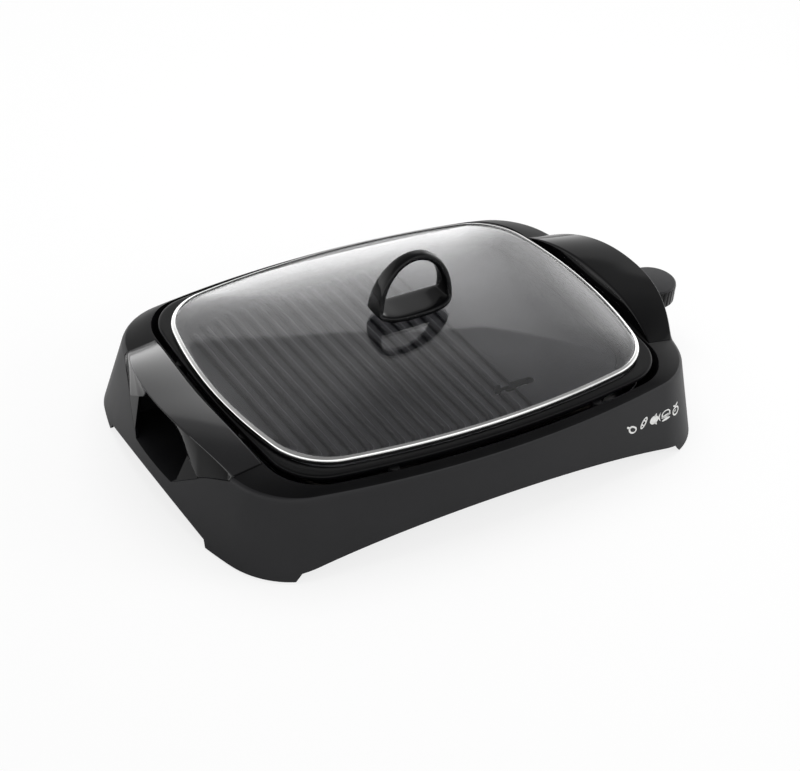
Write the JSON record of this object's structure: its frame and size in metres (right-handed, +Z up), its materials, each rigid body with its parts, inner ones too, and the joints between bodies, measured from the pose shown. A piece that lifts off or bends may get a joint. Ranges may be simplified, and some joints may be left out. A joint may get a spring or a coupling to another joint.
{
  "type": "electric indoor grill",
  "caption": "Electric indoor grill: moulded base with end handles, heating element, lift-out ridged plate over a drip tray, lift-off domed glass lid, plug-in dial control.",
  "frame": {"origin": "centre of the bounding box on the plane that the rubber feet rest on; the base is centred 27 mm towards -X because the dial reaches out at +X", "axes": "+X along the grill towards the thermostat control, -Y the front that faces the cook, +Z up"},
  "size_m": [0.5903, 0.3642, 0.1842],
  "materials": {
    "moulded_plastic": "fine matte texture, black phenolic moulding",
    "handle_gloss": "polished black phenolic",
    "fasteners": "zinc-plated steel",
    "foot_rubber": "matte black rubber",
    "shield_steel": "rolled stainless sheet",
    "standoff_ceramic": "unglazed steatite",
    "element_sheath": "heat-dulled incoloy sheath",
    "socket_ceramic": "unglazed steatite",
    "pin_brass": "drawn brass",
    "tray_aluminium": "pressed aluminium sheet",
    "plate_coating": "dark non-stick coating on cast aluminium",
    "lid_glass": "clear toughened glass",
    "lid_rim": "polished stainless steel channel",
    "lid_seal": "black silicone",
    "lens_red": "red translucent lens, unlit",
    "dial_grey": "satin dark grey moulding"
  },
  "bodies": {
    "base": {"base_shell": "moulded_plastic", "bottom_cover": "moulded_plastic", "left_handle": "handle_gloss", "right_handle": "handle_gloss", "handle_screws": "fasteners", "cover_screws": "fasteners", "front_left_foot": "foot_rubber", "front_right_foot": "foot_rubber", "back_left_foot": "foot_rubber", "back_right_foot": "foot_rubber", "heat_shield": "shield_steel", "shield_standoffs": "standoff_ceramic", "shield_screws": "fasteners", "heating_element": "element_sheath", "element_clips": "shield_steel", "inlet_socket": "socket_ceramic", "inlet_pins": "pin_brass", "probe_guide": "shield_steel"},
    "tray": {"drip_tray": "tray_aluminium"},
    "plate": {"grill_plate": "plate_coating"},
    "lid": {"lid_glass": "lid_glass", "lid_rim": "lid_rim", "lid_handle": "handle_gloss", "lid_seal": "lid_seal", "lid_inner_washer": "fasteners", "lid_screw": "fasteners"},
    "control": {"control_base": "moulded_plastic", "control_cover": "moulded_plastic", "thermostat_block": "socket_ceramic", "contact_sleeves": "pin_brass", "probe_rod": "shield_steel", "indicator_lens": "lens_red", "cord_bush": "foot_rubber", "control_screws": "fasteners"},
    "dial": {"dial_knob": "dial_grey", "dial_spindle": "fasteners"}
  },
  "joints": [
    {"name": "tray_lift", "type": "slide", "parent": "base", "child": "tray", "axis": [0, 0, 1], "range_m": [0, 0.1]},
    {"name": "plate_lift", "type": "slide", "parent": "tray", "child": "plate", "axis": [0, 0, 1], "range_m": [0, 0.1]},
    {"name": "lid_lift", "type": "slide", "parent": "plate", "child": "lid", "axis": [0, 0, 1], "range_m": [0, 0.12]},
    {"name": "control_unplug", "type": "slide", "parent": "base", "child": "control", "axis": [1, 0, 0], "range_m": [0, 0.12]},
    {"name": "dial_turn", "type": "hinge", "parent": "control", "child": "dial", "pos_m": [0.26925, 0, 0.051], "axis": [0, 0, -1], "range_deg": [0, 270]}
  ]
}
